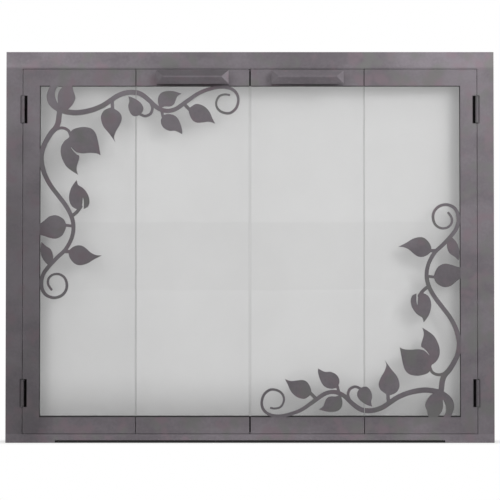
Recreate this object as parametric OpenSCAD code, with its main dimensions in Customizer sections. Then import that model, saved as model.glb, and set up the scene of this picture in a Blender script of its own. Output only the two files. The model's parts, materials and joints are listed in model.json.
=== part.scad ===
// Fireplace glass door: a steel frame with two tracked pairs of folding glass leaves.
// X runs to the right, Y runs from the room to the firebox, Z runs up.
// The origin is on the hearth, at mid width, in the plane where the frame's back meets the
// surround. Lengths along Y are given from the front plane of the frame, see in_place().

/* [Frame] */
// Width over the jambs
frame_w = 1016; // [990:1:1080]
// Height from the hearth to the top of the head
frame_h = 813; // [795:1:880]
// Depth of the frame tubes from front to back
frame_depth = 38; // [36:1:50]
// Face width of each jamb
jamb_w = 34; // [31:0.5:38]
// Face height of the head
head_h = 35; // [32:0.5:40]
// Height of the sill above the hearth
sill_h = 17.5; // [16:0.5:24]
// Wall of the frame tubes
tube_wall = 2.5; // [2:0.1:3]
// Length of the solid foot at each end of the sill, beside the draft slot
sill_foot_w = 69; // [45:1:120]
// Height of the draft slot under the sill
draft_slot_h = 4.8; // [4.5:0.1:6]

/* [Leaves] */
// Gap between the leaves and the head
head_gap = 1; // [0.8:0.1:3]
// Gap between the leaves and the sill
sill_gap = 1; // [0.8:0.1:3]
// Gap between the two leading edges at the centre
centre_gap = 3; // [3:0.1:5]
// Gap at the fold between an outer and an inner leaf
seam_gap = 1.6; // [1.4:0.1:3]
// Face width of the outer stiles
stile_w = 34.5; // [31:0.5:38]
// Face height of the top rails
top_rail_h = 34.5; // [31:0.5:38]
// Face height of the bottom rails
bottom_rail_h = 34; // [31:0.5:40]
// Thickness of the face sheets and of the vine
sheet_t = 3; // [2.5:0.1:3.5]
// Depth of the steel bars behind the face sheets
bar_depth = 11; // [10:0.5:12]

/* [Glass] */
// Thickness of the glass
glass_t = 5; // [4:0.5:5.5]
// Thickness of the flat gasket in front of the glass
gasket_t = 1.5; // [1:0.1:2]
// How far the glass runs behind the rails and stiles
glass_cover = 15; // [12:0.5:17]
// How far the gasket shows at the top and the sides
gasket_show = 1.2; // [0.5:0.1:2]
// How far the gasket shows above the bottom rail
gasket_show_bottom = 3; // [1:0.5:4]
// Width of the bevel along the free edges of the glass
glass_bevel_w = 12; // [6:0.5:14]
// Depth of that bevel
glass_bevel_depth = 1.6; // [0.8:0.1:2.5]
// Length of a glass clip along its edge
clip_w = 20; // [14:1:30]
// Thickness of a glass clip
clip_t = 1.5; // [1:0.1:1.8]

/* [Side hinges] */
// Diameter of the hinge barrels
barrel_d = 8; // [7.5:0.1:10.5]
// Length of a pair of hinge barrels
barrel_len = 56; // [44:1:70]
// Diameter of the hinge pins
hinge_pin_d = 4.6; // [4:0.1:5.5]
// Radial play of the pins in the sleeves
pin_play = 0.05; // [0.02:0.01:0.1]
// Distance of the hinge axis behind the front plane
hinge_y = 0.4; // [0.3:0.1:0.5]
// Distance from the jamb to the hinge axis
hinge_from_jamb = 0.5; // [0.45:0.05:1]
// Distance from the hinge axis to the leaf edge
hinge_to_leaf = 0.8; // [0.75:0.05:1.6]
// Distance from a leaf end to the middle of its hinge
hinge_from_end = 84; // [60:1:120]
// How far the notch in the stile reaches from the hinge axis
notch_reach = 9.5; // [8.5:0.5:14]
// Thickness of the leaf half's plate
leaf_plate_t = 2; // [1.6:0.1:2.5]

/* [Fold and guide] */
// Opening angle of the outer leaves
open_angle = 82; // [70:1:85]
// Radius of the fold hinge knuckles
knuckle_r = 3; // [2.6:0.1:3.4]
// Diameter of the fold hinge pins
fold_pin_d = 2.4; // [2:0.1:3]
// Thickness of the fold hinge plates
fold_plate_t = 2; // [1.5:0.1:2]
// Reach of the fold hinge plates from the fold axis
fold_plate_reach = 25; // [18:1:32]
// Distance from the fold axis to the seam
fold_from_seam = 4.2; // [3.6:0.1:5]
// Diameter of the guide pins
guide_pin_d = 4.5; // [4:0.1:5]
// Gap between the head's front wall and the guide track
track_gap = 0.05; // [0.05:0.05:0.5]
// Distance of the guide pins from the middle of the door
guide_x = 5.5; // [5.2:0.1:8]
// Height of the guide track inside the head
track_h = 11; // [9:0.5:16]
// Wall of the guide track
track_wall = 1.2; // [0.8:0.1:1.2]

/* [Handles] */
// Length of each handle
handle_len = 150; // [110:1:180]
// Height of each handle
handle_h = 28; // [20:0.5:30]
// Thickness of the handle at its long edges
handle_edge_t = 3; // [2:0.5:5]
// Height of the ridge over those edges
handle_ridge_h = 9; // [5:0.5:12]
// Width of the flat on the ridge
handle_ridge_w = 2.5; // [1:0.5:6]
// Length of the sloped ends of the handle
handle_end_len = 14; // [6:0.5:16]
// Gap between the handle and the leaf
handle_standoff = 16; // [12:0.5:26]
// Distance between the two handle posts
post_spacing = 110; // [80:1:120]
// Diameter of the handle posts
post_d = 10; // [8:0.5:12]
// Height of the handle's middle below the top of the leaf
handle_drop = 18.5; // [15:0.5:20]

/* [Catches and stops] */
// Distance of a catch from the middle of its handle
catch_shift = 0; // [-8:1:8]
// Width of a catch
catch_w = 41; // [34:1:46]
// Depth of a catch
catch_depth = 13; // [10:0.5:16]
// Height of a catch
catch_h = 14; // [12:0.5:15]
// Thickness of the strike plates
strike_t = 3; // [2.8:0.1:4]
// Gap between a strike plate and its magnet, and between leaf and stop
rest_gap = 0.3; // [0.2:0.05:0.5]
// Length of a jamb stop
stop_len = 60; // [40:1:80]
// Distance from the middle of a hinge to the middle of the stop next to it
stop_from_hinge = 80; // [75:1:150]
// Width of the stop's leg behind the leaf
stop_reach = 14; // [10:0.5:18]
// Thickness of the stop angle
stop_t = 2; // [1.5:0.1:3]

/* [Fixing brackets] */
// Width of a lintel bracket and of a hearth bracket's foot
bracket_w = 34; // [30:1:60]
// Thickness of the brackets
bracket_t = 3; // [2:0.5:4]
// How far a bracket reaches behind the frame
bracket_reach = 66; // [52:1:80]
// How far a bracket laps the frame, in front of its back plane
bracket_lap = 17; // [12:0.5:17]
// Height of a hearth bracket above the sill
bracket_leg = 34; // [26:1:44]
// Distance between the two lintel brackets
lintel_bracket_spacing = 620; // [560:5:680]
// Diameter of the anchor holes
anchor_hole_d = 9; // [6:0.5:11]
// Distance of the anchor holes behind the frame
anchor_reach = 45; // [30:1:58]

/* [Hidden] */
$fn = 48;

pewter = "#7b7079";
black_steel = "#2b2a2c";
zinc = "#a9abad";
gasket_black = "#141414";
glass_grey = [0.8, 0.84, 0.84, 0.35];

// A cut reaches this far past the faces it opens
cut = 1;
// Gap between a shank and its hole, between parts that are assembled side by side, and
// between a screw's tip and the end of its hole
fit_gap = 0.1;
side_gap = 0.3;
tip_gap = 1;
// Gap between the glass and the bars around it
glass_play = 0.5;

// Frame
jamb_x = frame_w / 2 - jamb_w;
head_z = frame_h - head_h;

// Leaves: the right-hand side is drawn, and the left-hand side is its mirror image
hinge_x = jamb_x - hinge_from_jamb;
leaf_edge_x = hinge_x - hinge_to_leaf;
leaf_top = head_z - head_gap;
leaf_bottom = sill_h + sill_gap;
leaf_back = sheet_t + bar_depth;
opening_x = leaf_edge_x - stile_w;
opening_top = leaf_top - top_rail_h;
opening_bottom = leaf_bottom + bottom_rail_h;
opening_mid = (opening_top + opening_bottom) / 2;
lead_x = centre_gap / 2;

// The guide pins run in the track, just behind the head's front wall
slot_play = 0.5;
guide_y = tube_wall + track_gap + track_wall + slot_play + guide_pin_d / 2;

// Fold linkage. The pin's track is straight when the leaf from fold to guide is longer
// than the leaf from hinge to fold by this much, so the pin ends where it began.
fold_y = leaf_back + knuckle_r + side_gap;
length_difference = (guide_y - hinge_y) * (1 - cos(open_angle)) / sin(open_angle);
fold_x = (hinge_x + guide_x + length_difference) / 2;
seam_x = fold_x - fold_from_seam;
outer_edge_x = seam_x + seam_gap / 2;
inner_edge_x = seam_x - seam_gap / 2;
// Half way through its travel the pin has moved this far towards the firebox
guide_wander = norm([length_difference, guide_y - hinge_y]) - (guide_y - hinge_y);
slot_front = guide_y - guide_pin_d / 2 - slot_play;
slot_back = guide_y + guide_wander + guide_pin_d / 2 + slot_play;
guide_travel_x = hinge_x - (hinge_x - guide_x) * cos(open_angle)
    - (2 * fold_y - hinge_y - guide_y) * sin(open_angle);
slot_x = guide_travel_x + guide_pin_d;
guide_tip = 1;
guide_roof_gap = 0.8;
guide_reach = track_h - track_wall - guide_tip - guide_roof_gap;
guide_pin_seat = 12;

// Glass
glass_front = sheet_t + gasket_t;
glass_back = glass_front + glass_t;
glass_x = opening_x + glass_cover;
glass_top = opening_top + glass_cover;
glass_bottom = opening_bottom - glass_cover;
bar_x = leaf_edge_x - leaf_plate_t;
bar_inner_x = glass_x + glass_play;
top_bar_z = glass_top + glass_play;
bottom_bar_z = glass_bottom - glass_play;
top_bar_mid = (top_bar_z + leaf_top) / 2;
bottom_bar_mid = (bottom_bar_z + leaf_bottom) / 2;

// Side hinges
hinge_levels = [leaf_bottom + hinge_from_end, leaf_top - hinge_from_end];
barrel_gap = 0.3;
sleeve_cap = 4;
pin_reach = barrel_len / 2 - sleeve_cap;
notch_play = 0.8;
notch_back_play = 1;
frame_plate_t = 1.6;
frame_plate_depth = 19;
barrel_overlap = 2.25;
notch_back = hinge_y + barrel_d / 2 + notch_back_play;

// Clips and screws
clip_foot = 11;
clip_base = 14;
clip_hole_at = 8;
clip_screw_d = 4;
clip_screw_len = 11;
pan_head_d = 7;
pan_head_h = 2.2;
clip_from_hinge = 7;
clip_from_stile = 24;
clip_from_mid = 100;
outer_clip_xs = [
    fold_x + fold_plate_reach + clip_from_hinge + clip_w / 2,
    bar_inner_x - clip_from_stile - clip_w / 2
];
stile_clip_zs = [opening_mid - clip_from_mid, opening_mid + clip_from_mid];

// Fold hinge. It is a little shorter than the bar behind the lower of the two rails
fold_hinge_margin = 0.75;
fold_hinge_len = min(leaf_top - top_bar_z, bottom_bar_z - leaf_bottom) - 2 * fold_hinge_margin;
knuckle_len = fold_hinge_len / 3;
fold_pin_head_h = 0.8;
fold_levels = [bottom_bar_mid, top_bar_mid];

// Handles
handle_x = (lead_x + inner_edge_x) / 2;
handle_z = leaf_top - handle_drop;
handle_back_y = -handle_standoff;
handle_screw_d = 5;
handle_screw_head_d = 8.8;
handle_screw_head_h = 2.8;
handle_screw_xs = [handle_x - post_spacing / 2, handle_x + post_spacing / 2];
// Each inner clip stands midway between a handle screw and what is next to it: the guide
// pin towards the middle of the door, the fold hinge towards the seam
inner_clip_xs = [
    (guide_x + guide_pin_d / 2 + handle_screw_xs[0] - handle_screw_head_d / 2) / 2,
    (handle_screw_xs[1] + handle_screw_head_d / 2 + fold_x - fold_plate_reach) / 2
];
post_thread = 10;
// A post starts this far inside the bar that it is welded to
weld_sink = 1;

// Catches and stops
catch_x = handle_x + catch_shift;
catch_front = leaf_back + strike_t + rest_gap;
catch_z = head_z - catch_h;
magnet_margin = 6;
magnet_depth = 5;
small_screw_d = 3;
small_head_d = 5.5;
small_head_h = 1.5;
stop_front = leaf_back + rest_gap;
stop_levels = [hinge_levels[0] + stop_from_hinge, hinge_levels[1] - stop_from_hinge];
stop_leg = 18;
stop_screw_y = stop_front + stop_leg / 2 + stop_t;

// Brackets. They sit inside the fireplace opening, so the frame's back stays clear for the
// surround: the lintel pair under the head, the hearth pair on the jambs' inner faces.
bracket_front = frame_depth - bracket_lap;
bracket_back = frame_depth + bracket_reach;
bracket_bolt_y = frame_depth - bracket_lap / 2;
bracket_bolt_d = 6;
bracket_slack = 0.6;
bolt_head_d = 10;
bolt_head_h = 4;
bolt_len = 9;
lintel_bracket_xs = [-lintel_bracket_spacing / 2, lintel_bracket_spacing / 2];
lintel_bolt_offsets = [-bracket_w / 4, bracket_w / 4];
hearth_anchor_x = jamb_x - bracket_w / 2;
hearth_bracket_top = sill_h + bracket_leg;
hearth_bolt_zs = [sill_h + bracket_leg / 4, sill_h + 3 * bracket_leg / 4];

// Vine. Points are [right, down] in mm from the upper left corner of the glass opening,
// and the third number of a stem's point is its width there. They are drawn for a seam and
// a middle of the door at these distances, and are spread sideways to where those are.
drawn_seam = 200.8;
drawn_middle = 438.3;
vine_seam = opening_x - seam_x;
stem_steps = 4;
leaf_steps = 4;
root_fillet = 0.5;
TOP_STEM = [
    [42, 51, 11], [60, 55, 11], [80, 56, 11], [107, 51, 10.5], [130, 42, 10], [147, 31, 10],
    [164, 20, 10], [183, 14, 10], [201, 14, 10], [214, 19, 10], [228, 30, 9.5], [243, 44, 9],
    [257, 51, 9], [271, 52, 8.5], [286, 47, 8.5], [307, 32, 8], [334, 14, 7.5], [364, 4, 7],
    [385, 2.5, 6.5], [401, 7, 6], [411, 17, 5.8], [414, 31, 5.5], [409, 47, 5.5],
    [396, 57, 5.2], [380, 55, 5], [370, 46, 4.8], [368, 34, 4.5], [374, 22, 4.3],
    [385, 18, 4], [395, 19, 4]
];
SIDE_STEM = [
    [42, 50, 11], [40, 63, 11], [38, 77, 11], [33, 88, 11], [24, 98, 10.5], [15, 112, 10],
    [8, 126, 10], [4, 140, 10], [3, 153, 10], [5, 167, 10], [11, 186, 9.5], [22, 207, 9],
    [37, 227, 9], [53, 248, 9], [64, 267, 8.5], [70, 286, 8.5], [70, 306, 8], [64, 325, 8],
    [53, 343, 8], [37, 358, 8], [21, 375, 8], [9, 391, 8], [4, 408, 7.5], [6, 425, 7],
    [15, 437, 6.5], [30, 442, 6], [45, 438, 6], [55, 427, 5.5], [57, 413, 5.5],
    [52, 400, 5], [41, 393, 5], [28, 394, 4.8], [19, 402, 4.5], [18, 414, 4.5], [25, 425, 4.5]
];
// Stalks and tendrils on the outer leaf, drawn like the stems
OUTER_STALKS = [
    [[27, 94, 6], [34, 91, 6], [43, 88, 6], [52, 89, 6], [60, 94, 6], [64, 103, 6]],
    [[151, 32, 7], [152, 48, 7]],
    [[67, 272, 7], [78, 263, 7], [86, 252, 7]],
    [[71, 293, 6], [54, 291, 6]],
    [[51, 346, 7], [63, 346, 7]]
];
INNER_STALKS = [
    [[231, 35, 5.5], [235, 46, 5.5], [232, 57, 5.5], [225, 62, 5.5], [218, 63, 5.5], [209, 59, 5.5]],
    [[254, 51, 6], [257, 64, 6]],
    [[302, 39, 7], [313, 50, 7]]
];
// Each leaf is a ring of smooth edges that meet at its tips
OUTER_LEAVES = [
    [[[23, -2], [17, 10], [14, 23], [17, 36], [24, 45], [36, 54]],
     [[36, 54], [50, 52], [61, 47], [70, 36], [74, 24], [70, 11], [67, -2]]],
    [[[62, 103], [67, 93], [78, 88], [92, 86], [107, 89], [116, 98], [121, 113], [127, 145]],
     [[127, 145], [118, 141], [104, 140], [91, 141], [81, 140], [74, 137], [67, 130]],
     [[67, 130], [60, 118], [62, 103]]],
    [[[63, 107], [52, 115], [45, 127], [44, 141], [48, 155], [58, 171], [80, 186]],
     [[80, 186], [77, 176], [78, 166], [82, 153], [82, 146], [77, 143], [71, 137], [65, 129]],
     [[65, 129], [66, 118], [63, 107]]],
    [[[146, 46], [135, 51], [129, 60], [128, 70], [133, 85], [146, 101], [158, 118]],
     [[158, 118], [155, 108], [159, 95], [166, 83], [171, 70], [169, 59], [162, 52], [151, 45]]],
    [[[89, 248], [84, 257], [76, 257], [67, 251], [62, 240], [62, 226], [67, 211], [77, 197]],
     [[77, 197], [80, 207], [87, 215], [90, 227], [89, 248]]],
    [[[80, 207], [92, 215], [101, 228], [104, 241], [101, 252], [92, 257]],
     [[92, 257], [92, 240], [88, 224], [80, 207]]],
    [[[56, 292], [52, 281], [44, 274], [33, 270], [20, 273], [9, 282], [-2, 290]],
     [[-2, 311], [8, 313], [20, 317], [33, 319], [45, 314], [52, 304], [56, 292]]],
    [[[4, 326], [13, 334], [22, 340], [27, 350], [28, 362], [20, 376]],
     [[20, 376], [11, 367], [5, 357], [2, 343], [4, 326]]],
    [[[60, 345], [62, 356], [68, 366], [77, 373], [88, 374], [101, 370], [114, 362], [130, 354]],
     [[130, 354], [118, 353], [107, 348], [98, 340], [89, 334], [79, 333], [69, 337], [60, 345]]]
];
INNER_LEAVES = [
    [[[251, 47], [247, 36], [247, 26], [251, 17], [260, 12], [277, 11], [295, 16]],
     [[295, 16], [287, 22], [283, 31], [279, 39], [271, 43], [260, 43], [251, 47]]],
    [[[258, 61], [253, 71], [254, 81], [260, 89], [271, 94], [283, 94], [297, 101]],
     [[297, 101], [297, 92], [293, 78], [287, 67], [279, 61], [268, 59], [258, 61]]],
    [[[313, 46], [311, 54], [314, 64], [320, 73], [329, 77], [342, 76], [354, 75], [366, 79]],
     [[366, 79], [360, 68], [355, 56], [347, 46], [337, 40], [326, 38], [318, 42], [313, 46]]]
];
// This leaf hangs over the seam and belongs whole to the inner leaf of the door
SEAM_LEAF = [
    [[185, 22], [195, 25], [204, 30], [212, 37], [216, 45], [215, 53], [210, 59], [203, 63],
     [196, 63], [190, 58], [186, 50], [185, 41], [187, 32], [185, 22]]
];
// The slit that parts the corner bud into two leaves
BUD_SLIT = [
    [[36, 1], [31, 12], [32, 25], [38, 38]],
    [[38, 38], [37, 24], [40, 12], [48, 1]]
];

// Point at fraction t of span i of the smooth curve through the points p
function curve_at(p, i, t) =
    let (a = p[max(i - 1, 0)], b = p[i], c = p[i + 1], d = p[min(i + 2, len(p) - 1)])
    b + t / 2 * (c - a + t * (2 * a - 5 * b + 4 * c - d + t * (3 * (b - c) + d - a)));
function curve(p, steps) = [
    for (i = [0 : len(p) - 2], k = [0 : steps - 1]) curve_at(p, i, k / steps),
    p[len(p) - 1]
];
function reversed(list) = [for (i = [len(list) - 1 : -1 : 0]) list[i]];
function vine_x(x) = x < drawn_seam
    ? x * vine_seam / drawn_seam
    : vine_seam + (x - drawn_seam) * seam_x / (drawn_middle - drawn_seam);
// A list of vine points, spread sideways to fit the leaves
function fitted(points) = [
    for (p = points) [vine_x(p.x), for (k = [1 : len(p) - 1]) p[k]]
];
// Unit normal of a curve at its point i
function normal(c, i) =
    let (v = c[min(i + 1, len(c) - 1)] - c[max(i - 1, 0)])
    [-v.y, v.x] / norm([v.x, v.y]);
// Edge of a stem: the curve moved sideways by half its own width
function stem_edge(c, way) = [
    for (i = [0 : len(c) - 1]) [c[i].x, c[i].y] + way * c[i].z / 2 * normal(c, i)
];

// Pieces are drawn with the front plane of the frame at Y = 0, and are moved here to where
// its back plane is at Y = 0
module in_place() {
    translate([0, -frame_depth, 0]) children();
}

module on_side(side) {
    in_place()
        mirror([side == "left" ? 1 : 0, 0, 0]) children();
}

// A flat outline drawn in X and Z, set upright with its front at y
module upright(y, thickness) {
    translate([0, y + thickness, 0])
        rotate([90, 0, 0])
            linear_extrude(thickness) children();
}

// A box between two corners
module box(low, high) {
    translate(low) cube(high - low);
}

// A round bar along Y from y to y + length
module round_y(x, y, z, d, length) {
    translate([x, y, z]) rotate([-90, 0, 0]) cylinder(d = d, h = length);
}

// A round bar along X from x to x + length
module round_x(x, y, z, d, length) {
    translate([x, y, z]) rotate([0, 90, 0]) cylinder(d = d, h = length);
}

// A screw along +Z from its head's inner face, with a hexagonal socket
module screw(d, length, head_d, head_h) {
    cylinder(d = d, h = length);
    translate([0, 0, -head_h])
        difference() {
            cylinder(d = head_d, h = head_h);
            translate([0, 0, -cut]) cylinder(d = head_d / 2, h = cut + head_h / 2, $fn = 6);
        }
}

// The same screw pushed in towards the room, with its head's inner face at y
module screw_y(x, y, z, d, length, head_d, head_h) {
    translate([x, y, z]) rotate([90, 0, 0]) screw(d, length, head_d, head_h);
}

// ---- Frame ----

module frame_head() {
    half = frame_w / 2;
    color(pewter)
        in_place() difference() {
            upright(0, frame_depth)
                polygon([[-half, frame_h], [half, frame_h], [jamb_x, head_z], [-jamb_x, head_z]]);
            box([-half, tube_wall, head_z + tube_wall],
                [half, frame_depth - tube_wall, frame_h - tube_wall]);
            box([-slot_x, slot_front, head_z - cut], [slot_x, slot_back, head_z + tube_wall + cut]);
            for (side = [-1, 1], dx = catch_screw_offsets())
                translate([side * catch_x + dx, catch_screw_y(), head_z - cut])
                    cylinder(d = small_screw_d, h = tube_wall + 2 * cut);
            for (x = lintel_bracket_xs, dx = lintel_bolt_offsets)
                translate([x + dx, bracket_bolt_y, head_z - cut])
                    cylinder(d = bracket_bolt_d, h = tube_wall + 2 * cut);
        }
}

module frame_jamb(side) {
    color(pewter)
        on_side(side)
            difference() {
                upright(0, frame_depth)
                    polygon([[frame_w / 2, frame_h], [jamb_x, head_z], [jamb_x, 0], [frame_w / 2, 0]]);
                box([jamb_x + tube_wall, tube_wall, tube_wall],
                    [frame_w / 2 - tube_wall, frame_depth - tube_wall, frame_h]);
                for (z = hinge_levels)
                    translate([hinge_x, hinge_y, z - barrel_len / 2 - cut])
                        cylinder(d = barrel_d + 2 * notch_play, h = barrel_len + 2 * cut);
                for (z = stop_levels)
                    round_x(jamb_x - cut, stop_screw_y, z, small_screw_d, tube_wall + 2 * cut);
                for (z = hearth_bolt_zs)
                    round_x(jamb_x - cut, bracket_bolt_y, z, bracket_bolt_d, tube_wall + 2 * cut);
            }
}

module frame_sill() {
    foot_x = jamb_x - sill_foot_w;
    color(pewter)
        in_place() difference() {
            box([-jamb_x, 0, 0], [jamb_x, frame_depth, sill_h]);
            box([-foot_x, -cut, -cut], [foot_x, frame_depth + cut, draft_slot_h]);
            box([-jamb_x + tube_wall, tube_wall, draft_slot_h + tube_wall],
                [jamb_x - tube_wall, frame_depth - tube_wall, sill_h - tube_wall]);
        }
}

// An upturned channel inside the head, over the slot the guide pins pass through
module guide_track() {
    floor_z = head_z + tube_wall;
    color(zinc)
        in_place() difference() {
            box([-slot_x - track_wall, slot_front - track_wall, floor_z],
                [slot_x + track_wall, slot_back + track_wall, floor_z + track_h]);
            box([-slot_x, slot_front, floor_z - cut],
                [slot_x, slot_back, floor_z + track_h - track_wall]);
        }
}

// ---- Catches and stops ----

function catch_screw_offsets() = [-catch_w / 2 + magnet_margin / 2, catch_w / 2 - magnet_margin / 2];
function catch_screw_y() = catch_front + catch_depth / 2;

module catch_housings() {
    color(black_steel)
        in_place() for (side = [-1, 1])
            translate([side * catch_x, catch_front, catch_z])
                difference() {
                    translate([-catch_w / 2, 0, 0]) cube([catch_w, catch_depth, catch_h]);
                    magnet_block(fit_gap);
                    for (dx = catch_screw_offsets())
                        translate([dx, catch_depth / 2, -cut])
                            cylinder(d = small_screw_d + 2 * fit_gap, h = catch_h + 2 * cut);
                }
}

module magnet_block(play) {
    half = catch_w / 2 - magnet_margin + play;
    front = play > 0 ? -cut : 0;
    rim = magnet_margin / 2 - play;
    box([-half, front, rim], [half, magnet_depth + play, catch_h - rim]);
}

module catch_magnets() {
    color(zinc)
        in_place() for (side = [-1, 1])
            translate([side * catch_x, catch_front, catch_z]) magnet_block(0);
}

module jamb_stops(side) {
    color(black_steel)
        on_side(side)
            for (z = stop_levels)
                difference() {
                    translate([0, 0, z - stop_len / 2])
                        linear_extrude(stop_len)
                            polygon([
                                [jamb_x, stop_front], [jamb_x, stop_front + stop_leg],
                                [jamb_x - stop_t, stop_front + stop_leg],
                                [jamb_x - stop_t, stop_front + stop_t],
                                [jamb_x - stop_reach, stop_front + stop_t],
                                [jamb_x - stop_reach, stop_front]
                            ]);
                    round_x(jamb_x - stop_t - cut, stop_screw_y, z,
                            small_screw_d + 2 * fit_gap, stop_t + 2 * cut);
                }
}

module small_screw(length) {
    screw(small_screw_d - 2 * fit_gap, length, small_head_d, small_head_h);
}

module frame_screws() {
    color(zinc)
        for (side = ["left", "right"])
            on_side(side) {
                for (dx = catch_screw_offsets())
                    translate([catch_x + dx, catch_screw_y(), catch_z])
                        small_screw(catch_h + 2 * tube_wall);
                for (z = stop_levels)
                    translate([jamb_x - stop_t, stop_screw_y, z])
                        rotate([0, 90, 0]) small_screw(stop_t + 2 * tube_wall);
            }
}

// ---- Side hinges ----

// Lower half of each lift-off hinge: barrel, pin and the plate that is welded to the jamb
module hinge_pin_halves(side) {
    color(pewter)
        on_side(side)
            for (z = hinge_levels) {
                translate([hinge_x, hinge_y, z - barrel_len / 2]) {
                    cylinder(d = barrel_d, h = barrel_len / 2 - barrel_gap / 2);
                    cylinder(d = hinge_pin_d, h = barrel_len / 2 + pin_reach);
                }
                box([jamb_x - frame_plate_t, hinge_y + barrel_overlap, z - barrel_len / 2],
                    [jamb_x, hinge_y + frame_plate_depth, z - barrel_gap / 2]);
            }
}

// Upper half of each lift-off hinge: the sleeve and the plate that carries the leaf
module hinge_sleeves(side) {
    half = barrel_len / 2;
    color(pewter)
        on_side(side)
            for (z = hinge_levels)
                difference() {
                    union() {
                        translate([hinge_x, hinge_y, z + barrel_gap / 2])
                            cylinder(d = barrel_d, h = half - barrel_gap / 2);
                        box([bar_x, hinge_y + barrel_overlap, z + barrel_gap / 2],
                            [leaf_edge_x, leaf_back, z + half]);
                    }
                    translate([hinge_x, hinge_y, z])
                        cylinder(d = hinge_pin_d + 2 * pin_play, h = pin_reach + barrel_gap);
                }
}

module hinge_notches() {
    for (z = hinge_levels)
        box([hinge_x - notch_reach, -cut, z - barrel_len / 2 - cut],
            [jamb_x, notch_back, z + barrel_len / 2 + cut]);
}

// ---- Outer leaves ----

module outer_leaf_face(side) {
    color(pewter)
        on_side(side)
            difference() {
                box([outer_edge_x, 0, leaf_bottom], [leaf_edge_x, sheet_t, leaf_top]);
                box([outer_edge_x - cut, -cut, opening_bottom], [opening_x, sheet_t + cut, opening_top]);
                hinge_notches();
            }
}

module outer_leaf_bars(side) {
    color(pewter)
        on_side(side)
            difference() {
                box([outer_edge_x, sheet_t, leaf_bottom], [bar_x, leaf_back, leaf_top]);
                box([outer_edge_x - cut, 0, bottom_bar_z], [bar_inner_x, leaf_back + cut, top_bar_z]);
                hinge_notches();
                for (spot = outer_clip_spots()) clip_screw_hole(spot);
            }
}

module outer_gasket(side) {
    color(gasket_black)
        on_side(side)
            difference() {
                box([outer_edge_x, sheet_t, glass_bottom], [glass_x, glass_front, glass_top]);
                box([outer_edge_x - cut, 0, opening_bottom + gasket_show_bottom],
                    [opening_x - gasket_show, glass_front + cut, opening_top - gasket_show]);
            }
}

// The pane's plan: the front corner of each free edge is bevelled
module outer_glass(side) {
    color(glass_grey)
        on_side(side)
            translate([0, 0, glass_bottom])
                linear_extrude(glass_top - glass_bottom)
                    polygon([
                        [outer_edge_x, glass_back], [glass_x, glass_back], [glass_x, glass_front],
                        [outer_edge_x + glass_bevel_w, glass_front],
                        [outer_edge_x, glass_front + glass_bevel_depth]
                    ]);
}

// ---- Inner leaves ----

// The top and the bottom strip of an inner leaf between two heights
module inner_strips(y, thickness, top_from, top_to, bottom_from, bottom_to) {
    for (span = [[top_from, top_to], [bottom_from, bottom_to]])
        box([lead_x, y, span[0]], [inner_edge_x, y + thickness, span[1]]);
}

module inner_leaf_face(side) {
    color(pewter)
        on_side(side)
            difference() {
                inner_strips(0, sheet_t, opening_top, leaf_top, leaf_bottom, opening_bottom);
                handle_screw_holes();
            }
}

module inner_leaf_bars(side) {
    color(pewter)
        on_side(side)
            difference() {
                inner_strips(sheet_t, bar_depth, top_bar_z, leaf_top, leaf_bottom, bottom_bar_z);
                handle_screw_holes();
                for (spot = inner_clip_spots()) clip_screw_hole(spot);
                translate([guide_x, guide_y, leaf_top - guide_pin_seat])
                    cylinder(d = guide_pin_d + fit_gap, h = guide_pin_seat + cut);
            }
}

module inner_gasket(side) {
    color(gasket_black)
        on_side(side)
            inner_strips(sheet_t, gasket_t, opening_top - gasket_show, glass_top,
                         glass_bottom, opening_bottom + gasket_show_bottom);
}

module inner_glass(side) {
    color(glass_grey)
        on_side(side)
            translate([0, 0, glass_bottom])
                linear_extrude(glass_top - glass_bottom)
                    polygon([
                        [lead_x, glass_back], [inner_edge_x, glass_back],
                        [inner_edge_x, glass_front + glass_bevel_depth],
                        [inner_edge_x - glass_bevel_w, glass_front],
                        [lead_x + glass_bevel_w, glass_front],
                        [lead_x, glass_front + glass_bevel_depth]
                    ]);
}

// ---- Glass clips. A spot is [x, z, turn], with the turn about Y from up to outwards ----

function outer_clip_spots() = [
    for (x = outer_clip_xs) [x, top_bar_z, 0],
    for (x = outer_clip_xs) [x, bottom_bar_z, 180],
    for (z = stile_clip_zs) [bar_inner_x, z, 90]
];
function inner_clip_spots() = [
    for (x = inner_clip_xs) [x, top_bar_z, 0],
    for (x = inner_clip_xs) [x, bottom_bar_z, 180]
];

module at_spot(spot) {
    translate([spot[0], 0, spot[1]]) rotate([0, spot[2], 0]) children();
}

module clip_screw_hole(spot) {
    at_spot(spot)
        round_y(0, leaf_back - clip_screw_len + clip_t, clip_hole_at, clip_screw_d, clip_screw_len);
}

// A bent strip: its base lies on the bar, and its foot holds the glass on the gasket
module glass_clip() {
    difference() {
        rotate([90, 0, 90])
            linear_extrude(clip_w, center = true)
                polygon([
                    [leaf_back, clip_base], [leaf_back + clip_t, clip_base],
                    [leaf_back + clip_t, -clip_t - side_gap], [glass_back + clip_t, -clip_t - side_gap],
                    [glass_back + clip_t, -clip_foot], [glass_back, -clip_foot],
                    [glass_back, -side_gap], [leaf_back, -side_gap]
                ]);
        round_y(0, leaf_back - cut, clip_hole_at, clip_screw_d + 2 * fit_gap, clip_t + 2 * cut);
    }
}

module glass_clips(side, spots) {
    color(zinc)
        on_side(side)
            for (spot = spots) at_spot(spot) glass_clip();
}

module clip_screws(side, spots) {
    color(zinc)
        on_side(side)
            for (spot = spots)
                at_spot(spot)
                    screw_y(0, leaf_back + clip_t, clip_hole_at, clip_screw_d - 2 * fit_gap,
                            clip_screw_len - tip_gap, pan_head_d, pan_head_h);
}

// ---- Fold hinges, hidden behind the leaves ----

module fold_knuckle(z, from, to) {
    translate([fold_x, fold_y, z + from]) cylinder(r = knuckle_r, h = to - from);
}

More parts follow.
